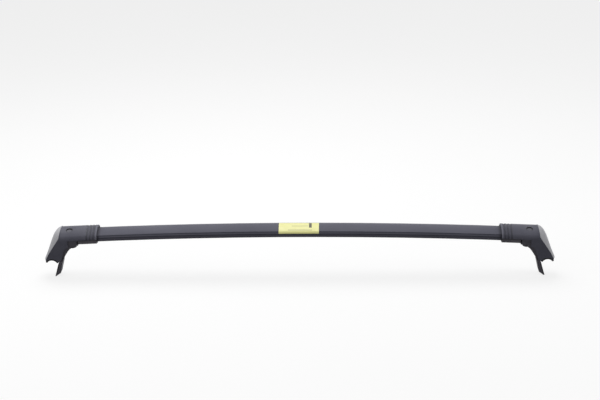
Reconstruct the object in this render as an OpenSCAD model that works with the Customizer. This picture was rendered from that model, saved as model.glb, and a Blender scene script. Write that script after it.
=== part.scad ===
/* [Rack] */
// Overall width of the rack, from end cover to end cover
rack_w = 1100; // [1000:10:1250]
// Height of the bar's centre above the ground, inside the foot
foot_z = 91.4; // [91:0.1:92]
// Radius of the bar's bow along its length
bow_r = 11000; // [9500:500:16000]

/* [Bar] */
// Depth of the bar, front to rear
bar_w = 60; // [59:0.5:61]
// Height of the bar's section
bar_h = 23; // [22.5:0.1:23.5]
// Radius of the bar's front and rear noses
nose_r = 8; // [7.5:0.1:8.5]
// Drop of the noses below the middle of the section
nose_drop = 1.5; // [1:0.1:2]
// Wall thickness of the bar
bar_wall = 2; // [1.8:0.1:2.2]
// Space between the two webs inside the bar
web_gap = 20.4; // [20:0.2:22]
// Radius of the two fine lines along each nose
line_r = 0.5; // [0.3:0.1:0.7]

/* [Label] */
// Length of the label along the bar
label_l = 86; // [60:1:120]
// Thickness of the label film
label_t = 0.25; // [0.15:0.05:0.4]
// Reach of the label behind the middle of the bar
label_rear = 10; // [4:1:16]

/* [Sleeve] */
// Thickness of the sleeve at the noses
sleeve_side = 3.5; // [3:0.1:4]
// Thickness of the sleeve on top
sleeve_top = 6.3; // [6:0.1:6.6]
// Thickness of the under cover
under_t = 2.6; // [2.2:0.1:3]
// Depth of the waves across the sleeve
wave_d = 0.8; // [0.4:0.1:1.4]
// Half of the width of each wave
wave_w = 3.2; // [2.4:0.2:3.4]

/* [Clamp] */
// Lean of the clamp bolt from the vertical
draw_tilt = 12.5; // [11.5:0.5:13]
// Radius of the roof rail in the saddle
rail_r = 12; // [11.5:0.1:12.5]
// Thickness of the saddle pad
pad_t = 3.5; // [3:0.1:3.8]
// Thread radius of the clamp bolt
bolt_r = 3; // [2.5:0.5:3]
// Radius of the access plug
plug_r = 6.4; // [6.2:0.1:6.6]
// Half of the depth of the jaw at its tip
tip_half = 13; // [11:0.5:15]
// Clearance between pieces that slide or drop in
slip = 0.15; // [0.1:0.01:0.2]
// Clearance between the moulded covers
seam = 0.3; // [0.25:0.01:0.35]

/* [Hidden] */
$fn = 96;

// Foot coordinates: u runs outward from the sleeve's inner end, z is the height.
foot_l = 117.5;
foot_x = rack_w / 2 - foot_l;
// The rail lies inward of the foot's outer end, then come the cheeks, the bolt and the bar's end
rail_in = 16.3;
cheek_in = 38.2;
bolt_in = 40.6;
bar_in = 17.6;
rail_u = foot_l - rail_in;
cheek_from = rail_u - cheek_in;
bolt_u = rail_u - bolt_in;
bar_end = bolt_u - bar_in;
// Where the foot's straight frame touches the bar's arc
ref_in = 1.5;
ref_u = bar_end - ref_in;
tilt = asin((foot_x + ref_u) / bow_r);
arc_z = foot_z - bow_r * cos(tilt);
end_angle = asin((foot_x + bar_end) / bow_r);
nose_y = bar_w / 2 - nose_r;
web_t = 1.6;
core_wall = 3;
spigot_tail = 2;
spigot_grip = 3;
line_at = [4, -0.5];
// Cuts that go right through a piece reach this far
through = 160;
// Clearance where a screw or a seal meets its seat, and the film's clearance over the bar
fine = 0.05;
film_gap = 0.01;
// Facets in a whole turn, times half of the bow's angle, where the bow gets two equal chords
bow_facets = 356;
// Room beyond a screw's tip or a pocket's end
tip_gap = 0.4;

// Sleeve
sleeve_cut = -3.4;
under_drop = 2.2;
under_from = 1.2;
under_end = bar_end - 2.3;
wave_at = [7, 14, 21];
wave_steps = 3;
mouth_l = 3;
seal_t = 1.4;
seal_from = 0.4;
seal_gap = 0.1;
// Lower edge of the label, on the front nose
label_low = nose_r * sin(15) - nose_drop;

// Side of the foot, seen along the bar: it draws in from the sleeve to the jaw's tip
foot_half = bar_w / 2 + sleeve_side - 0.3;
sides = [[foot_half, foot_z - 2.4], [foot_half, 72], [0.5 * foot_half, 45], [tip_half, 0]];
side_steps = 16;

// Screws from below: two into the frame's spigot, two into the shell
screw_pitch = 14;
screw_edge = 9;
screw_at = [for (u = screw_pitch; u <= bar_end - screw_edge; u = u + screw_pitch) u];
screw_head_r = 5;
screw_head_h = 2.4;
screw_flat = 4;
screw_socket_h = 1.5;
screw_l = 15;
spigot_from = 8;
spigot_h = bar_h - 2 * bar_wall - 1;
cover_screw_in = 26.2;
cover_screw_u = rail_u - cover_screw_in;
cover_screw_y = 19;
cover_screw_r = 2;
cover_screw_head_r = 3.5;
cover_screw_head_h = 2.8;
cover_screw_flat = 2.5;
cover_screw_socket_h = 1.8;
cover_screw_seat = 4;
cover_screw_l = 15.8;
cover_screw_gap = 0.7;

// Clamp bolt: its axis starts on top of the sleeve and leans inward going down.
bolt_y = -14.5;
bolt_z = 105.8;
plug_dip = 1.5;
plug_seat = 5.8;
plug_end = 7;
head_top = 7.2;
head_h = 6;
head_r = 5;
socket_flat = 5;
socket_h = 3.5;
washer_t = 1.4;
washer_r = 5.5;
well_r = 5.8;
well_end = head_top + head_h + washer_t;
plug_lap = 0.1;
neck = 1;
bolt_tip = 40;
nut_at = 26;
nut_h = 5;
nut_flat = 10;
boss_r = 6;
boss_end = 39.3;
stem_top = 18.8;
stem_end = 34.2;
stem_in = 6.5;
stem_out = 8;
stem_y = 8;
web_top = 28;
web_out = 15;
web_y = 7;
web_end = 1.3;
web_gap_top = 0.2;

// Roof rail in the saddle, and the jaw's face that leans against it
rail_z = 26.6;
rail_gap = 0.05;
face_lean = 16.5;
pad_from = 31;
pad_to = 155;
jaw_pad_t = 2.5;
pad_low = 3.5;
pad_high = 28.5;
function face(z) = rail_u - (rail_r + rail_gap) / cos(face_lean) + (rail_z - z) * tan(face_lean);

function from_rail(points) = [for (p = points) [rail_u + p[0], p[1]]];

// Corners of curves, from the rail: the end cover's crown and side edge, and the arm's fillet
crown_at = [[-21.2, 107.1], [-3.2, 106.8], [0.8, 72], [rail_in, 40.5]];
crown = from_rail(crown_at);
edge_at = [[-19.7, 93], [-14.2, 84], [5.8, 57], [12.7, 39.5]];
edge = from_rail(edge_at);
fillet_at = [[-44.2, 67.4], [-38.2, 64.6], [-32.5, 53.4], [-26.7, 43.6]];
fillet = from_rail(fillet_at);
cover_t = 2.5;
cover_rows = 18;
cover_cols = 20;
// Half of the angle that the cover's rows turn through: it falls from the first to the last
cover_turn_top = 90;
cover_turn_fall = 35;
cover_fall_end = 0.4;

// Lower edge of the frame over the jaw's arm, from the boss down to the rail, and the cheeks' edge
part_at = [[-39.7, 71.9], [-31.2, 69.8], [-24.2, 60], [-18.7, 46]];
part_line = concat(from_rail(part_at), [[face(36) - 1, 36]]);
cheek_at = [[-cheek_in, 71.2], [-34.2, 70], [-28.4, 63.4], [-23.2, 48], [-20.4, 38.4]];
cheek_line = concat(from_rail(cheek_at), [[face(36) - 1, 36]]);
leg_at = [[-20.2, 37.7], [-18.6, 23]];
leg_top = concat([[face(31.5), 31.5], [face(36) - 0.9, 35]], from_rail(leg_at));
part_gap = 0.7;
// The arm clears the cheeks, which draw in below it, over the jaw's whole travel
arm_in = core_wall + seam + 2.8;
spine_in = 1.6;

function mix(a, b, k) = a * (1 - k) + b * k;
function bez(c, t) = pow(1 - t, 3) * c[0] + 3 * t * pow(1 - t, 2) * c[1]
    + 3 * t * t * (1 - t) * c[2] + pow(t, 3) * c[3];
function arc(cx, cy, r, a0, a1, n) =
    [for (i = [0 : n]) [cx + r * cos(mix(a0, a1, i / n)), cy + r * sin(mix(a0, a1, i / n))]];

side_table = [for (i = [0 : side_steps]) let (p = bez(sides, 1 - i / side_steps)) [p[1], p[0]]];
function side_at(z) = lookup(z, side_table);
function along(points) = [for (i = [0 : 20]) bez(points, i / 20)];

// A wing section: a crown and a belly that run smoothly into two round noses.
function blend_r(a, h, c, r) = (a * a + (h - c) * (h - c) - r * r) / (2 * (h - c - r));
function wing(r, top, bottom, drop = nose_drop, a = nose_y) =
    let (rt = blend_r(a, top, -drop, r), rb = blend_r(a, bottom, drop, r),
         at = atan2(rt - top - drop, a), ab = atan2(rb - bottom + drop, a))
    concat(arc(0, top - rt, rt, at, 180 - at, 16),
        arc(-a, -drop, r, 180 - at, 180 + ab, 12),
        arc(0, rb - bottom, rb, 180 + ab, 360 - ab, 12),
        arc(a, -drop, r, -ab, at, 12));
function bar_wing(grow) = wing(nose_r + grow, bar_h / 2 + grow, bar_h / 2 + grow);
function sleeve_wing(cut) = wing(nose_r + sleeve_side - cut, bar_h / 2 + sleeve_top - cut,
    bar_h / 2 + sleeve_side - cut);

// Turned about the bow's far centre. The facet count gives two equal chords.
module bow(half_angle) {
    translate([0, 0, arc_z])
        rotate([90, 0, 0])
            rotate([0, 0, 90 - half_angle])
                rotate_extrude(angle = 2 * half_angle, $fn = bow_facets / half_angle)
                    children();
}

// Lays a section on the bow: its y points up, along the radius.
module on_arc() {
    translate([bow_r, 0])
        rotate(-90)
            children();
}

module on_side(side) {
    mirror([side == "left" ? 1 : 0, 0, 0])
        translate([foot_x, 0, 0])
            children();
}

module along_bar() {
    translate([ref_u, 0, foot_z])
        rotate([0, tilt, 0])
            translate([-ref_u, 0, 0])
                children();
}

module along_bolt() {
    translate([bolt_u, bolt_y, bolt_z])
        rotate([0, draw_tilt, 0])
            children();
}

module prism(points, from, to) {
    translate([from, 0, 0])
        rotate([90, 0, 90])
            linear_extrude(to - from)
                polygon(points);
}

module plate(points, half_y) {
    translate([0, half_y, 0])
        rotate([90, 0, 0])
            linear_extrude(2 * half_y)
                polygon(points);
}

module block(x0, x1, half_y, z0, z1) {
    translate([x0, -half_y, z0])
        cube([x1 - x0, 2 * half_y, z1 - z0]);
}

// Everything between the foot's two sides, less an inset
module between_sides(inset) {
    half = concat(side_table, [[through, foot_half]]);
    prism(concat([for (p = half) [p[1] - inset, p[0]]],
        [for (i = [len(half) - 1 : -1 : 0]) [inset - half[i][1], half[i][0]]]), 0, through);
}

module down(from, to, r) {
    translate([0, 0, -to])
        cylinder(r = r, h = to - from);
}

module hex(flat, h) {
    cylinder(r = flat / 2 / cos(30), h = h, $fn = 6);
}

module rail(r, half_y) {
    translate([rail_u, half_y, rail_z])
        rotate([90, 0, 0])
            cylinder(r = r, h = 2 * half_y);
}

// Bar

module bar_hollow() {
    difference() {
        polygon(bar_wing(-bar_wall));
        for (s = [-1, 1])
            translate([s * (web_gap + web_t) / 2 - web_t / 2, -bar_h])
                square([web_t, 2 * bar_h]);
    }
}

module nose_lines() {
    for (s = [-1, 1])
        for (height = line_at)
            translate([s * (nose_y + sqrt(nose_r * nose_r - pow(height + nose_drop, 2))), height])
                circle(r = line_r, $fn = 24);
}

module crossbar() {
    color([0.42, 0.42, 0.46])
        difference() {
            bow(end_angle)
                on_arc()
                    difference() {
                        polygon(bar_wing(0));
                        bar_hollow();
                        nose_lines();
                    }
            for (side = ["left", "right"])
                on_side(side)
                    along_bar()
                        for (x = screw_at)
                            translate([x, 0, -bar_h])
                                cylinder(r = bolt_r + slip, h = bar_h);
        }
}

module label() {
    color([0.95, 0.95, 0.7])
        bow(asin(label_l / 2 / bow_r))
            on_arc()
                difference() {
                    polygon(bar_wing(label_t));
                    polygon(bar_wing(film_gap));
                    translate([label_rear, -bar_w])
                        square(2 * bar_w);
                    translate([-2 * bar_w, -2 * bar_w + label_low])
                        square([4 * bar_w, 2 * bar_w]);
                }
}

// Foot

module bolt_well() {
    along_bolt() {
        down(-through, well_end, well_r);
        down(-through, plug_seat, plug_r + slip);
    }
}

module bolt_hole() {
    along_bolt()
        down(0, through, bolt_r + slip);
}

// The foot seen from the front, from its inner edge round the rail to the lip
rail_at = [rail_u, rail_z];
function foot_outline(start, line) = concat(start, line,
    [rail_at + (rail_r + pad_t) * [cos(pad_to), sin(pad_to)], rail_at,
        [edge[3][0], rail_z + (edge[3][0] - rail_u) * tan(pad_from)]]);

// Everything inward of the end cover's seat
function shell_limit(gap) = concat([[-1, 0], [-1, through], 2 * crown[0] - edge[0] - [gap, 0]],
    [crown[0] - [gap, 0]], [for (p = along(edge)) p - [gap, 0]], [[edge[3][0] - gap, 0]]);

frame_floor = foot_z - bar_h / 2 - 0.6;
frame_top = foot_z - 2;
foot_start = [[bar_end + seam, frame_top], [bar_end + seam, frame_floor],
    [under_end + seam, frame_floor], [under_end + seam, 75.6], [under_end + seam + 7, 73.4]];

module frame_core() {
    along_bar() {
        prism(bar_wing(0), bar_end + seam, edge[0][0] - spigot_tail);
        intersection() {
            block(spigot_from, bar_end + spigot_tail, web_gap / 2 - slip, -spigot_h / 2, spigot_h / 2);
            prism(bar_wing(-bar_wall - slip), 0, through);
        }
    }
    intersection() {
        plate(concat(foot_outline(foot_start, part_line), [edge[3], [crown[0][0] + 10, frame_top]]),
            foot_half);
        between_sides(core_wall + seam);
    }
}

module jaw_pocket() {
    along_bolt() {
        block(-stem_in - slip, stem_out + slip, stem_y + slip, -through, -stem_top + tip_gap);
        block(0, web_out + seam, web_y + slip, -through, -web_top + web_gap_top);
    }
}

module foot_frame(side) {
    color([0.2, 0.2, 0.22])
        on_side(side)
            difference() {
                intersection() {
                    frame_core();
                    plate(shell_limit(seam), through);
                }
                bolt_well();
                bolt_hole();
                jaw_pocket();
                rail(rail_r + pad_t, through);
                along_bar()
                    for (x = screw_at)
                        translate([x, 0, -bar_h])
                            cylinder(r = bolt_r + fine, h = bar_h + spigot_h / 2 - spigot_grip);
                along_bar()
                    for (y = [-cover_screw_y, cover_screw_y])
                        translate([cover_screw_u, y, 0]) {
                            translate([0, 0, -bar_h])
                                cylinder(r = cover_screw_r + slip, h = 2 * bar_h);
                            translate([0, 0, -through - cover_screw_seat])
                                cylinder(r = cover_screw_head_r + cover_screw_gap, h = through);
                        }
            }
}

// Each wave is cut in steps that follow a cosine
module sleeve_waves() {
    for (x = wave_at)
        for (step = [1 : wave_steps]) {
            reach = wave_w * acos(2 * step / wave_steps - 1 - 1 / wave_steps) / 180;
            difference() {
                prism(sleeve_wing(-wave_d), x - reach, x + reach);
                prism(sleeve_wing(wave_d * step / wave_steps), x - wave_w, x + wave_w);
            }
        }
}

module foot_shell(side) {
    color([0.36, 0.36, 0.4])
        on_side(side)
            difference() {
                intersection() {
                    union() {
                        along_bar()
                            difference() {
                                prism(sleeve_wing(0), 0, through);
                                sleeve_waves();
                                block(-through, cheek_from, bar_w, -through, sleeve_cut);
                            }
                        intersection() {
                            plate(concat(foot_outline([[cheek_from, foot_z]], cheek_line),
                                [edge[3], [crown[0][0] + 12, foot_z]]), foot_half);
                            between_sides(0);
                        }
                    }
                    plate(shell_limit(0), through);
                }
                along_bar()
                    prism(bar_wing(seam), -through, through);
                intersection() {
                    block(bar_end, foot_l, foot_half, 0, frame_top + 1);
                    between_sides(core_wall);
                }
                along_bar()
                    prism(bar_wing(seal_t + fine), -through, mouth_l);
                bolt_well();
                rail(rail_r + pad_t, through);
                along_bar()
                    for (y = [-cover_screw_y, cover_screw_y])
                        translate([cover_screw_u, y, 0])
                            cylinder(r = cover_screw_r + fine,
                                h = cover_screw_l - cover_screw_seat + tip_gap);
            }
}

function under_wing(grow) = wing(nose_r + grow, bar_h / 2, bar_h / 2 + grow + under_drop,
    nose_drop + under_drop);

module under_cover(side) {
    color([0.12, 0.12, 0.13])
        on_side(side)
            along_bar()
                difference() {
                    prism(under_wing(under_t), under_from, under_end);
                    block(-through, bar_end, bar_w, sleeve_cut, through);
                    prism(bar_wing(seam), 0, through);
                    prism(bar_wing(seal_t + fine), 0, mouth_l);
                    for (x = screw_at)
                        translate([x, 0, -bar_h])
                            cylinder(r = screw_head_r + seam, h = bar_h);
                }
}

// End cover: rows run from the top of the foot down to its lip.
function cover_half(t) = side_at(bez(edge, t)[1]);
function cover_turn(t) = cover_turn_top - cover_turn_fall * min(1, t / cover_fall_end);
function cover_point(t, v, thick) =
    let (e = bez(edge, t), p0 = bez(crown, t), p = p0 + thick * (e - p0) / norm(e - p0),
         q = cover_turn(t), k = (1 - cos(q * v)) / (1 - cos(q)), s = mix(p, e, k))
    [s[0], (cover_half(t) - thick) * sin(q * v) / sin(q), s[1]];
function cover_grid(thick) = [for (i = [0 : cover_rows]) for (j = [0 : cover_cols])
    cover_point(i / cover_rows, 2 * j / cover_cols - 1, thick)];

function quad(a, b, c, d) = [[a, b, c], [a, c, d]];
function at(i, j, layer) = (layer * (cover_rows + 1) + i) * (cover_cols + 1) + j;

module cover_skin() {
    faces = concat(
        [for (i = [0 : cover_rows - 1]) for (j = [0 : cover_cols - 1])
            each quad(at(i, j, 0), at(i, j + 1, 0), at(i + 1, j + 1, 0), at(i + 1, j, 0))],
        [for (i = [0 : cover_rows - 1]) for (j = [0 : cover_cols - 1])
            each quad(at(i, j, 1), at(i + 1, j, 1), at(i + 1, j + 1, 1), at(i, j + 1, 1))],
        [for (j = [0 : cover_cols - 1])
            each quad(at(0, j, 0), at(0, j, 1), at(0, j + 1, 1), at(0, j + 1, 0))],
        [for (j = [0 : cover_cols - 1])
            each quad(at(cover_rows, j, 0), at(cover_rows, j + 1, 0),
                at(cover_rows, j + 1, 1), at(cover_rows, j, 1))],
        [for (i = [0 : cover_rows - 1])
            each quad(at(i, 0, 0), at(i + 1, 0, 0), at(i + 1, 0, 1), at(i, 0, 1))],
        [for (i = [0 : cover_rows - 1])
            each quad(at(i, cover_cols, 0), at(i, cover_cols, 1),
                at(i + 1, cover_cols, 1), at(i + 1, cover_cols, 0))]);
    polyhedron(concat(cover_grid(0), cover_grid(cover_t)), faces, convexity = 4);
}

module end_cover(side) {
    color([0.66, 0.66, 0.68])
        on_side(side)
            cover_skin();
}

module access_plug(side) {
    color([0.3, 0.3, 0.33])
        on_side(side) {
            intersection() {
                along_bolt()
                    down(-well_r, plug_seat, plug_r);
                along_bar()
                    prism(sleeve_wing(plug_dip), 0, edge[0][0]);
            }
            along_bolt()
                down(plug_seat - plug_lap, plug_end, well_r - slip);
        }
}

module clamp_bolt(side) {
    color([0.7, 0.7, 0.72])
        on_side(side)
            along_bolt()
                difference() {
                    union() {
                        down(head_top, head_top + head_h, head_r);
                        down(head_top + neck, bolt_tip, bolt_r);
                    }
                    translate([0, 0, -head_top - socket_h])
                        hex(socket_flat, 2 * socket_h);
                }
}

module clamp_washer(side) {
    color([0.75, 0.75, 0.76])
        on_side(side)
            along_bolt()
                difference() {
                    down(head_top + head_h, well_end, washer_r);
                    down(0, through, bolt_r + slip);
                }
}

module clamp_nut(side) {
    color([0.72, 0.72, 0.7])
        on_side(side)
            along_bolt()
                translate([0, 0, -nut_at - nut_h])
                    difference() {
                        hex(nut_flat, nut_h);
                        translate([0, 0, -nut_h])
                            cylinder(r = bolt_r + fine, h = 3 * nut_h);
                    }
}

// Leg and arm of the jaw, seen from the front, the leg's spine, and its full depth outward of that
jaw_at = [[-23.3, 36], [-16.8, 7]];
jaw_leg = concat(from_rail(jaw_at), [[face(0) - 1.9, 0], [face(0), 0]]);
leg_spine = concat([mix(jaw_leg[0], jaw_leg[1], 0.2), jaw_leg[1], jaw_leg[2], jaw_leg[3]],
    [leg_top[0], leg_top[1], leg_top[2]]);
leg_front = concat([jaw_leg[1] + [0.7, 0]], [jaw_leg[2], jaw_leg[3]], leg_top);
jaw_outline = concat(along(fillet), jaw_leg, [leg_top[0]],
    [for (i = [len(part_line) - 1 : -1 : 0]) part_line[i] - [part_gap, part_gap * (4 - i) / 4]],
    [[fillet[0][0], cheek_line[0][1]]]);

module jaw_body() {
    intersection() {
        plate(jaw_outline, foot_half);
        between_sides(arm_in);
    }
    intersection() {
        plate(leg_spine, foot_half);
        between_sides(spine_in);
    }
    intersection() {
        plate(leg_front, foot_half);
        between_sides(slip);
    }
    along_bolt() {
        down(stem_end - neck, boss_end, boss_r);
        block(-stem_in, stem_out, stem_y, -stem_end, -stem_top);
        block(0, web_out, web_y, -stem_end - web_end, -web_top);
    }
}

module clamp_jaw(side) {
    color([0.24, 0.24, 0.27])
        on_side(side)
            difference() {
                jaw_body();
                along_bolt() {
                    down(0, through, bolt_r + slip);
                    translate([0, 0, -nut_at - nut_h - slip])
                        block(-through, nut_flat / 2 / cos(30) + slip,
                            nut_flat / 2 + fine, 0, nut_h + slip);
                }
                jaw_pad_strip();
            }
}

module jaw_pad_strip() {
    plate([[face(pad_high) - jaw_pad_t, pad_high], [face(pad_low) - jaw_pad_t, pad_low],
        [face(pad_low) + neck, pad_low], [face(pad_high) + neck, pad_high]], through);
}

module jaw_pad(side) {
    color([0.05, 0.05, 0.05])
        on_side(side)
            intersection() {
                jaw_pad_strip();
                plate(leg_front, foot_half);
                between_sides(slip);
            }
}

module saddle_pad(side) {
    color([0.05, 0.05, 0.05])
        on_side(side)
            intersection() {
                translate([rail_u, foot_half, rail_z])
                    rotate([90, 0, 0])
                        rotate([0, 0, pad_from])
                            rotate_extrude(angle = pad_to - pad_from)
                                translate([rail_r, 0])
                                    square([pad_t, 2 * foot_half]);
                between_sides(slip);
            }
}

// A screw that points up from under its seat, with a hexagon socket in its head
module socket_screw(r, l, cap_r, cap_h, flat, socket) {
    difference() {
        union() {
            translate([0, 0, -cap_h])
                cylinder(r = cap_r, h = cap_h);
            cylinder(r = r, h = l);
        }
        translate([0, 0, -cap_h - socket])
            hex(flat, 2 * socket);
    }
}

module bar_screws(side) {
    color([0.6, 0.6, 0.62])
        on_side(side)
            along_bar()
                for (x = screw_at)
                    translate([x, 0, -bar_h / 2 - 2 * fine])
                        socket_screw(bolt_r, screw_l, screw_head_r, screw_head_h,
                            screw_flat, screw_socket_h);
}

module cover_screws(side) {
    color([0.55, 0.55, 0.57])
        on_side(side)
            along_bar()
                for (y = [-cover_screw_y, cover_screw_y])
                    translate([cover_screw_u, y, -cover_screw_seat])
                        socket_screw(cover_screw_r, cover_screw_l, cover_screw_head_r,
                            cover_screw_head_h, cover_screw_flat, cover_screw_socket_h);
}

module bar_seal(side) {
    color([0.04, 0.04, 0.04])
        on_side(side)
            along_bar()
                difference() {
                    prism(bar_wing(seal_t), seal_from, mouth_l);
                    prism(bar_wing(seal_gap), -mouth_l, 2 * mouth_l);
                }
}

crossbar();
label();
foot_frame("left");  // foot_frame_left
foot_frame("right");  // foot_frame_right
foot_shell("left");  // foot_shell_left
foot_shell("right");  // foot_shell_right
under_cover("left");  // under_cover_left
under_cover("right");  // under_cover_right
end_cover("left");  // end_cover_left
end_cover("right");  // end_cover_right
access_plug("left");  // access_plug_left
access_plug("right");  // access_plug_right
clamp_bolt("left");  // clamp_bolt_left
clamp_bolt("right");  // clamp_bolt_right
clamp_washer("left");  // clamp_washer_left
clamp_washer("right");  // clamp_washer_right
clamp_nut("left");  // clamp_nut_left
clamp_nut("right");  // clamp_nut_right
clamp_jaw("left");  // clamp_jaw_left
clamp_jaw("right");  // clamp_jaw_right
jaw_pad("left");  // jaw_pad_left
jaw_pad("right");  // jaw_pad_right
saddle_pad("left");  // saddle_pad_left
saddle_pad("right");  // saddle_pad_right
bar_screws("left");  // bar_screws_left
bar_screws("right");  // bar_screws_right
cover_screws("left");  // cover_screws_left
cover_screws("right");  // cover_screws_right
bar_seal("left");  // bar_seal_left
bar_seal("right");  // bar_seal_right
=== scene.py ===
"""Roof rack crossbar: the finish of every piece, a pale studio and the camera."""
import math

import bpy
from mathutils import Matrix, Vector


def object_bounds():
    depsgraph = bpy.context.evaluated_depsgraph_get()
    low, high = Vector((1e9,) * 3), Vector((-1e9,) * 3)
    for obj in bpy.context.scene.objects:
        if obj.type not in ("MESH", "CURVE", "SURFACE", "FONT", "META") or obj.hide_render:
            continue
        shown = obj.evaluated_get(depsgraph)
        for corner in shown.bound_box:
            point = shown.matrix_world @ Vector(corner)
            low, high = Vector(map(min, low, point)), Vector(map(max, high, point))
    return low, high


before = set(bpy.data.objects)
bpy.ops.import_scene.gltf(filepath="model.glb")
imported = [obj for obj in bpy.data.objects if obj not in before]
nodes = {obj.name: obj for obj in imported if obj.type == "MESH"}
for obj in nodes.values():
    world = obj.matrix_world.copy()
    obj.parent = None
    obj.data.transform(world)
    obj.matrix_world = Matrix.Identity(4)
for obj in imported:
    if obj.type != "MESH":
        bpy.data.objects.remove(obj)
cad_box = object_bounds()
SIDES = ("left", "right")

# Photograph's frame, and where its camera stands
IMAGE_WIDTH_PX = 600
CAMERA_YAW = math.radians(1.03)
CAMERA_PITCH = math.radians(18.33)
CAMERA_ROLL = math.radians(-0.524)
CAMERA_DISTANCE = 3.3
CAMERA_FOCAL_PX = 1544.5
CAMERA_TARGET = Vector((0.0028, 0.0, 0.1679))
SENSOR_MM = 36.0

# Studio, in metres: the world's fill, the kinds of ray that see the white background, how much of
# the floor glows for them, how much light it sends back, how far it reaches and how far it lies below
# the part, and each lamp's name, place, aim, size and watts
WORLD_FILL = 0.3
SEEN_BY = ("Is Camera Ray", "Is Glossy Ray", "Is Transmission Ray")
FLOOR_GLOW = 0.8
FLOOR_BOUNCE = 0.16
FLOOR_PALE = (0.93, 0.93, 0.93, 1.0)
FLOOR_DARKER = (0.9, 0.9, 0.9, 1.0)
FLOOR_REACH = 14.0
FLOOR_DROP = 0.0004
LAMPS = [
    ("top", (-0.2, 0.6, 1.6), (0.0, 0.0, 0.05), 1.6, 24.0),
    ("front", (-1.3, -2.0, 1.0), (0.0, 0.0, 0.05), 1.4, 8.0),
    ("right", (2.2, -0.3, 0.6), (0.4, 0.0, 0.05), 1.0, 11.0),
    ("left", (-2.2, -0.3, 0.9), (-0.4, 0.0, 0.05), 1.0, 9.0),
]


def box_of(name):
    """Lowest and highest corner of a piece."""
    places = [v.co for v in nodes[name].data.vertices]
    return [[pick(p[i] for p in places) for i in range(3)] for pick in (min, max)]


# Bar, in metres: the radius of its bow, half its height, the height of its middle, and the heights of
# its nose lines above that. Each line is painted shade, dark over its core and fading to its edge. The
# reach is how far painted shadow darkens the bar beside each sleeve.
BOW_RADIUS = 11.0
BAR_HALF = 0.0115
BAR_MIDDLE = box_of("crossbar")[1][2] - BAR_HALF
BAR_LINES = (0.004, -0.0005)
LINE_CORE = 0.0004
LINE_EDGE = 0.0012
# How far the painted shadow beside each sleeve reaches along the bar
SLEEVE_SHADOW_REACH = 0.009

# Sleeve, in metres: where it starts, and from there the core and edge of the painted highlight along
# its rim, its waves and their half width, the under cover's end and how soon the seam's painted shade
# fades after it. The painted shade along the seam between the two has a height above the bar's middle,
# a core and an edge.
SLEEVE_START = box_of("foot_shell_right")[0][0]
RIM_CORE = 0.0012
RIM_EDGE = 0.0045
WAVES_AT = (0.007, 0.014, 0.021)
WAVE_HALF = 0.0034
UNDER_END = box_of("under_cover_right")[1][0] - SLEEVE_START
SEAM_FADE = 0.004
SEAM_HEIGHT = -0.0034
SEAM_CORE = 0.0006
SEAM_EDGE = 0.002

# Access plug, in metres: its middle and radius seen from above, and the core and edge of the painted
# shade in its recess. The painted shade darkens from the recess's front to its rear, and shows only
# above the shoulder's height.
PLUG_BOX = box_of("access_plug_right")
PLUG_MIDDLE = [(PLUG_BOX[0][i] + PLUG_BOX[1][i]) / 2.0 for i in range(2)]
PLUG_RADIUS = (PLUG_BOX[1][1] - PLUG_BOX[0][1]) / 2.0
RECESS_CORE = 0.0005
RECESS_EDGE = 0.002
RECESS_FRONT = -0.005
RECESS_REAR = 0.004
SHOULDER_FROM = 0.094
SHOULDER_TO = 0.096

# Fine structure, in grains or clouds a metre
GRAIN_SCALE = 1500.0
MOULD_CLOUDS = 30.0


# Colours are written as they look on a screen, from 0 to 255.
def linear(level):
    c = level / 255.0
    return c / 12.92 if c <= 0.04045 else ((c + 0.055) / 1.055) ** 2.4


def rgb(red, green, blue):
    return (linear(red), linear(green), linear(blue), 1.0)


# Colour of the painted shade round the plug's recess and along the sleeve's seam
PAINTED_SHADE_DARK = rgb(30, 30, 34)

# Label: the two yellows of its film, the inks of its bars, and for each bar the x and y that it starts
# and ends at, in the part's own metres, its ink and how strong that is
LABEL_YELLOW = rgb(228, 226, 158)
LABEL_DEEPER = rgb(221, 219, 146)
PALE_INK = rgb(150, 148, 112)
DARK_INK = rgb(46, 44, 38)
LABEL_BARS = [
    (0.0216, 0.0276, -0.0164, 0.0082, DARK_INK, 0.95),
    (-0.0152, 0.0192, -0.0112, -0.0082, PALE_INK, 0.6),
    (-0.0235, 0.0286, -0.0252, -0.0226, PALE_INK, 0.6),
]


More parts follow.
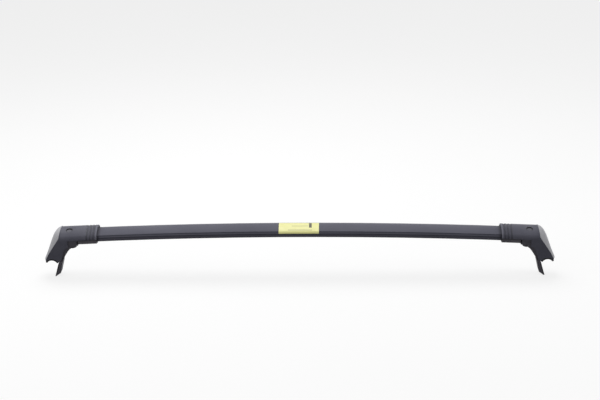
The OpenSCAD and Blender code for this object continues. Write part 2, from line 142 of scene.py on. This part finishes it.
class Finish:
    """A material's node tree, with short calls for the nodes that it uses."""

    def __init__(self, name):
        self.material = bpy.data.materials.new(name)
        self.material.use_nodes = True
        self.tree = self.material.node_tree
        self.shader = self.tree.nodes["Principled BSDF"]
        self.place = self.tree.nodes.new("ShaderNodeTexCoord").outputs["Object"]

    def add(self, kind, **inputs):
        node = self.tree.nodes.new(kind)
        for key, value in inputs.items():
            self.set(node.inputs[key.replace("_", " ")], value)
        return node

    def set(self, socket, value):
        if isinstance(value, bpy.types.NodeSocket):
            self.tree.links.new(value, socket)
        else:
            socket.default_value = value

    def scaled(self, factors):
        node = self.tree.nodes.new("ShaderNodeVectorMath")
        node.operation = "MULTIPLY"
        self.set(node.inputs[0], self.place)
        node.inputs[1].default_value = factors
        return node.outputs[0]

    def noise(self, scale, detail, stretch=(1.0, 1.0, 1.0)):
        node = self.add("ShaderNodeTexNoise", Scale=scale, Detail=detail)
        self.set(node.inputs["Vector"], self.scaled(stretch))
        return node.outputs["Fac"]

    def cells(self, scale):
        node = self.add("ShaderNodeTexVoronoi", Scale=scale, Vector=self.place)
        return node.outputs["Distance"]

    def math(self, operation, a, b=0.0):
        node = self.tree.nodes.new("ShaderNodeMath")
        node.operation = operation
        self.set(node.inputs[0], a)
        self.set(node.inputs[1], b)
        return node.outputs[0]

    def spread(self, value, low, high, to_low, to_high, soft=False):
        node = self.tree.nodes.new("ShaderNodeMapRange")
        if soft:
            node.interpolation_type = "SMOOTHSTEP"
        for socket, amount in zip(node.inputs, (value, low, high, to_low, to_high)):
            self.set(socket, amount)
        return node.outputs["Result"]

    def apart(self, a, b):
        """Distance between two values, without its sign."""
        return self.math("ABSOLUTE", self.math("SUBTRACT", a, b))

    def mix(self, factor, a, b):
        node = self.tree.nodes.new("ShaderNodeMix")
        node.data_type = "RGBA"
        self.set(node.inputs["Factor"], factor)
        self.set(node.inputs["A"], a)
        self.set(node.inputs["B"], b)
        return node.outputs["Result"]

    def bump(self, height, strength, distance, under=None):
        node = self.add("ShaderNodeBump", Strength=strength, Distance=distance, Height=height)
        if under is not None:
            self.set(node.inputs["Normal"], under)
        return node.outputs["Normal"]

    def axis(self, name):
        node = self.tree.nodes.new("ShaderNodeSeparateXYZ")
        self.set(node.inputs[0], self.place)
        return node.outputs[name]

    def along_foot(self):
        """Distance outward from the sleeves' inner ends, at either end of the bar."""
        return self.math("SUBTRACT", self.math("ABSOLUTE", self.axis("X")), SLEEVE_START)

    def plug_recess(self):
        """Mask of painted shade in the narrow recess round each access plug, strongest along its rear
        half.
        """
        x = self.math("SUBTRACT", self.math("ABSOLUTE", self.axis("X")), PLUG_MIDDLE[0])
        y = self.math("SUBTRACT", self.axis("Y"), PLUG_MIDDLE[1])
        reach = self.math("SQRT", self.math("ADD", self.math("MULTIPLY", x, x),
                                            self.math("MULTIPLY", y, y)))
        off = self.apart(reach, PLUG_RADIUS)
        ring = self.spread(off, RECESS_CORE, RECESS_EDGE, 1.0, 0.0, soft=True)
        rear = self.spread(y, RECESS_FRONT, RECESS_REAR, 0.25, 0.95, soft=True)
        above = self.spread(self.axis("Z"), SHOULDER_FROM, SHOULDER_TO, 0.0, 1.0)
        return self.math("MULTIPLY", self.math("MULTIPLY", ring, rear), above)

    def bar_height(self):
        """Height above the middle of the bowed bar."""
        x = self.axis("X")
        drop = self.math("DIVIDE", self.math("MULTIPLY", x, x), 2.0 * BOW_RADIUS)
        return self.math("SUBTRACT", self.math("ADD", self.axis("Z"), drop), BAR_MIDDLE)

    def seam(self):
        """Mask of painted shade along the seam between the sleeve and the under cover."""
        off = self.apart(self.bar_height(), SEAM_HEIGHT)
        shade_line = self.spread(off, SEAM_CORE, SEAM_EDGE, 0.75, 0.0, soft=True)
        short = self.spread(self.along_foot(), UNDER_END, UNDER_END + SEAM_FADE, 1.0, 0.0)
        return self.math("MULTIPLY", shade_line, short)

    def surface(self, **values):
        for key, value in values.items():
            self.set(self.shader.inputs[key.replace("_", " ")], value)
        return self.material


def extrusion(name, colour, darker, shade_line):
    """Satin coat on an extruded bar: faint clouds, fine marks along it, painted shade along its nose
    lines, and painted shadow where it enters the sleeves."""
    f = Finish(name)
    marks = f.noise(700.0, detail=3.0, stretch=(0.006, 1.0, 1.0))
    clouds = f.noise(14.0, detail=4.0, stretch=(0.5, 1.0, 1.0))
    tone = f.mix(f.spread(clouds, 0.3, 0.7, 0.0, 0.5), colour, darker)
    tone = f.mix(f.spread(marks, 0.42, 0.72, 0.0, 0.5), tone, darker)
    height = f.bar_height()
    # Painted shade along the bar's nose lines
    for at in BAR_LINES:
        dark = f.spread(f.apart(height, at), LINE_CORE, LINE_EDGE, 0.65, 0.0, soft=True)
        tone = f.mix(dark, tone, shade_line)
    # Painted shadow on the bar, darkest where it enters each sleeve
    painted_shade = f.spread(f.along_foot(), -SLEEVE_SHADOW_REACH, 0.0, 0.0, 0.8, soft=True)
    tone = f.mix(painted_shade, tone, shade_line)
    return f.surface(Base_Color=tone, Specular_IOR_Level=0.12, Normal=f.bump(marks, 0.12, 0.0002),
                     Roughness=f.spread(clouds, 0.3, 0.7, 0.52, 0.64))


def casting(name, colour, darker):
    """Powder coat over cast metal: a fine orange-peel over a slightly uneven skin."""
    f = Finish(name)
    peel = f.noise(2200.0, detail=2.0)
    skin = f.noise(160.0, detail=4.0)
    tone = f.mix(f.spread(skin, 0.35, 0.65, 0.0, 0.6), colour, darker)
    normal = f.bump(peel, 0.2, 0.0002, under=f.bump(skin, 0.25, 0.0006))
    return f.surface(Base_Color=tone, Metallic=0.1, Specular_IOR_Level=0.3, Normal=normal,
                     Roughness=f.spread(skin, 0.3, 0.7, 0.49, 0.63))


def moulded(name, colour, darker, roughness=0.55, painted_shade=None):
    """Moulded plastic with a fine spark-eroded grain, and slight clouds from the mould."""
    f = Finish(name)
    grains = f.cells(GRAIN_SCALE)
    clouds = f.noise(MOULD_CLOUDS, detail=4.0)
    tone = f.mix(f.spread(clouds, 0.3, 0.7, 0.0, 0.7), colour, darker)
    # A mask, where given, darkens the tone with painted shade
    if painted_shade:
        tone = f.mix(painted_shade(f), tone, PAINTED_SHADE_DARK)
    return f.surface(Base_Color=tone, Normal=f.bump(grains, 0.2, 0.0002), Specular_IOR_Level=0.3,
                     Roughness=f.spread(clouds, 0.3, 0.7, roughness - 0.06, roughness + 0.08))


def sleeve_plastic(name, colour, darker, rim_highlight, wave_shade):
    """Moulded plastic of the foot, with a painted highlight along its rim, and painted shade in its
    waves, in the recess round the plug and along the seam at the sleeve's lower edge."""
    f = Finish(name)
    grains = f.cells(GRAIN_SCALE)
    clouds = f.noise(MOULD_CLOUDS, detail=4.0)
    tone = f.mix(f.spread(clouds, 0.3, 0.7, 0.0, 0.7), colour, darker)
    along = f.along_foot()
    # Painted highlight along the sleeve's inner rim
    tone = f.mix(f.spread(along, RIM_CORE, RIM_EDGE, 0.8, 0.0, soft=True), tone, rim_highlight)
    waves = 0.0
    for at in WAVES_AT:
        wave = f.spread(f.apart(along, at), 0.0, WAVE_HALF, 1.0, 0.0, soft=True)
        waves = f.math("ADD", wave, waves)
    # Painted shade in the waves' grooves, which the bump below also shapes
    tone = f.mix(f.math("MULTIPLY", waves, 0.75), tone, wave_shade)
    # Painted shade in the recess round the access plug
    tone = f.mix(f.plug_recess(), tone, PAINTED_SHADE_DARK)
    # Painted shade along the seam at the sleeve's lower edge
    tone = f.mix(f.seam(), tone, PAINTED_SHADE_DARK)
    shape = f.bump(f.math("MULTIPLY", waves, -1.0), 0.7, 0.0006)
    return f.surface(Base_Color=tone, Normal=f.bump(grains, 0.2, 0.0002, under=shape),
                     Specular_IOR_Level=0.25, Roughness=f.spread(clouds, 0.3, 0.7, 0.5, 0.64))


def rubber(name, axis, ribs_per_m):
    """Matt black rubber with shallow ribs across it and a little dust."""
    f = Finish(name)
    wave = f.math("SINE", f.math("MULTIPLY", f.axis(axis), ribs_per_m * 2.0 * math.pi))
    dust = f.noise(180.0, detail=5.0)
    tone = f.mix(f.spread(dust, 0.45, 0.75, 0.0, 0.35), rgb(27, 27, 29), rgb(48, 47, 46))
    normal = f.bump(wave, 0.3, 0.0005)
    return f.surface(Base_Color=tone, Normal=normal, Specular_IOR_Level=0.25,
                     Roughness=f.spread(dust, 0.3, 0.7, 0.72, 0.86))


def plated_steel(name, colour, darker):
    """Zinc-plated steel, with a little mottling in its colour and gloss."""
    f = Finish(name)
    mottle = f.noise(420.0, detail=4.0)
    tone = f.mix(f.spread(mottle, 0.35, 0.7, 0.0, 0.6), colour, darker)
    return f.surface(Base_Color=tone, Metallic=1.0, Normal=f.bump(mottle, 0.08, 0.0002),
                     Roughness=f.spread(mottle, 0.3, 0.7, 0.26, 0.42))


def label_film(name):
    """Pale yellow film with a few plain bars on it."""
    f = Finish(name)
    paper = f.noise(60.0, detail=4.0)
    tone = f.mix(f.spread(paper, 0.35, 0.65, 0.0, 0.6), LABEL_YELLOW, LABEL_DEEPER)
    for x0, x1, y0, y1, ink, strength in LABEL_BARS:
        inside = f.math("MULTIPLY",
                        f.math("MULTIPLY", f.math("GREATER_THAN", f.axis("X"), x0),
                               f.math("LESS_THAN", f.axis("X"), x1)),
                        f.math("MULTIPLY", f.math("GREATER_THAN", f.axis("Y"), y0),
                               f.math("LESS_THAN", f.axis("Y"), y1)))
        tone = f.mix(f.math("MULTIPLY", inside, strength), tone, ink)
    return f.surface(Base_Color=tone, Coat_Weight=0.15, Coat_Roughness=0.3, Specular_IOR_Level=0.3,
                     Roughness=f.spread(paper, 0.3, 0.7, 0.45, 0.55),
                     Normal=f.bump(paper, 0.05, 0.0003))


def dress(node, material):
    """Gives a node its finish."""
    materials = nodes[node].data.materials
    materials.clear()
    materials.append(material)


def dress_all():
    """Gives every piece its material."""
    frame_coat = casting("frame_coat", rgb(66, 64, 71), rgb(55, 53, 60))
    jaw_coat = casting("jaw_coat", rgb(73, 71, 78), rgb(62, 60, 67))
    # The shell's third colour is its painted rim highlight, its fourth the painted shade in its waves
    shell = sleeve_plastic("shell_plastic", rgb(78, 78, 89), rgb(70, 70, 81), rgb(108, 108, 119),
                           rgb(48, 48, 56))
    # The under cover takes the painted shade along its seam with the sleeve
    under = moulded("under_plastic", rgb(76, 73, 80), rgb(66, 64, 70), painted_shade=Finish.seam)
    cover = moulded("cover_plastic", rgb(166, 166, 170), rgb(156, 156, 160), roughness=0.45)
    # The plug's rim takes the painted shade of its recess
    plug = moulded("plug_plastic", rgb(80, 80, 90), rgb(72, 72, 82), painted_shade=Finish.plug_recess)
    steel = plated_steel("plated_steel", rgb(186, 186, 184), rgb(136, 134, 128))
    pad = rubber("pad_rubber", "Y", 420.0)
    seal = rubber("seal_rubber", "Z", 900.0)
    # The bar's third colour is the painted shade for its nose lines and beside the sleeves
    dress("crossbar", extrusion("bar_coat", rgb(86, 86, 97), rgb(77, 77, 88), rgb(42, 42, 49)))
    dress("label", label_film("label_film"))
    by_piece = {
        "foot_frame": frame_coat, "foot_shell": shell, "under_cover": under, "end_cover": cover,
        "access_plug": plug, "clamp_bolt": steel, "clamp_washer": steel, "clamp_nut": steel,
        "clamp_jaw": jaw_coat, "jaw_pad": pad, "saddle_pad": pad, "bar_screws": steel,
        "cover_screws": steel, "bar_seal": seal,
    }
    for name, material in by_piece.items():
        for side in SIDES:
            dress(f"{name}_{side}", material)


def path_mix(tree, rays, plain, seen):
    """Mixes two shaders, with the second for the named kinds of ray."""
    path = tree.nodes.new("ShaderNodeLightPath")
    chosen = path.outputs[rays[0]]
    for ray in rays[1:]:
        either = tree.nodes.new("ShaderNodeMath")
        either.operation = "MAXIMUM"
        tree.links.new(chosen, either.inputs[0])
        tree.links.new(path.outputs[ray], either.inputs[1])
        chosen = either.outputs[0]
    choose = tree.nodes.new("ShaderNodeMixShader")
    tree.links.new(chosen, choose.inputs["Fac"])
    tree.links.new(plain, choose.inputs[1])
    tree.links.new(seen, choose.inputs[2])
    return choose.outputs[0]


def sky():
    """White all round, and a quiet fill for the light on the part."""
    world = bpy.data.worlds.new("studio")
    bpy.context.scene.world = world
    world.use_nodes = True
    tree = world.node_tree
    tree.nodes.clear()
    out = tree.nodes.new("ShaderNodeOutputWorld")
    strengths = []
    for strength in (WORLD_FILL, 1.0):
        light = tree.nodes.new("ShaderNodeBackground")
        light.inputs["Color"].default_value = (1.0, 1.0, 1.0, 1.0)
        light.inputs["Strength"].default_value = strength
        strengths.append(light.outputs[0])
    tree.links.new(path_mix(tree, SEEN_BY, *strengths), out.inputs["Surface"])


def floor():
    """A pale floor that takes the shadow. It glows only for the rays that see the background."""
    mesh = bpy.data.meshes.new("floor")
    corners = [(x * FLOOR_REACH, y * FLOOR_REACH, 0.0) for x, y in ((-1, -1), (1, -1), (1, 1), (-1, 1))]
    mesh.from_pydata(corners, [], [(0, 1, 2, 3)])
    plane = bpy.data.objects.new("floor", mesh)
    bpy.context.scene.collection.objects.link(plane)
    plane.location.z = cad_box[0][2] - FLOOR_DROP
    f = Finish("floor_paint")
    cloud = f.noise(1.3, detail=2.0)
    tone = f.mix(f.spread(cloud, 0.3, 0.7, 0.0, 1.0), FLOOR_PALE, FLOOR_DARKER)
    f.surface(Base_Color=tone, Roughness=0.9, Specular_IOR_Level=0.0)
    glow = f.tree.nodes.new("ShaderNodeEmission")
    glow.inputs["Strength"].default_value = 1.0
    blend = f.tree.nodes.new("ShaderNodeMixShader")
    blend.inputs["Fac"].default_value = FLOOR_GLOW
    f.tree.links.new(f.shader.outputs[0], blend.inputs[1])
    f.tree.links.new(glow.outputs[0], blend.inputs[2])
    quiet = f.tree.nodes.new("ShaderNodeBsdfDiffuse")
    quiet.inputs["Color"].default_value = (FLOOR_BOUNCE, FLOOR_BOUNCE, FLOOR_BOUNCE, 1.0)
    f.tree.links.new(path_mix(f.tree, SEEN_BY, quiet.outputs[0], blend.outputs[0]),
                     f.tree.nodes["Material Output"].inputs["Surface"])
    plane.data.materials.append(f.material)


def lamp(name, place, aim, size, watts):
    """A round, soft lamp that points at its aim."""
    data = bpy.data.lights.new(name, "AREA")
    data.shape = "DISK"
    data.size = size
    data.energy = watts
    obj = bpy.data.objects.new(name, data)
    bpy.context.scene.collection.objects.link(obj)
    obj.location = place
    obj.rotation_euler = (Vector(aim) - Vector(place)).to_track_quat("-Z", "Y").to_euler()


def camera():
    """The photograph's camera, turned and rolled about its target."""
    back = Vector((math.sin(CAMERA_YAW) * math.cos(CAMERA_PITCH),
                   -math.cos(CAMERA_YAW) * math.cos(CAMERA_PITCH), math.sin(CAMERA_PITCH)))
    right = Vector((math.cos(CAMERA_YAW), math.sin(CAMERA_YAW), 0.0))
    up = back.cross(right)
    rolled_right = math.cos(CAMERA_ROLL) * right + math.sin(CAMERA_ROLL) * up
    rolled_up = back.cross(rolled_right)
    place = CAMERA_TARGET + back * CAMERA_DISTANCE
    data = bpy.data.cameras.new("camera")
    data.sensor_width = SENSOR_MM
    data.lens = CAMERA_FOCAL_PX * SENSOR_MM / IMAGE_WIDTH_PX
    data.clip_end = 100.0
    obj = bpy.data.objects.new("camera", data)
    bpy.context.scene.collection.objects.link(obj)
    turn = Matrix((rolled_right, rolled_up, back)).transposed().to_4x4()
    obj.matrix_world = Matrix.Translation(place) @ turn
    bpy.context.scene.camera = obj


camera()
sky()
floor()
for lamp_values in LAMPS:
    lamp(*lamp_values)
dress_all()
bpy.context.scene.view_settings.view_transform = "Standard"
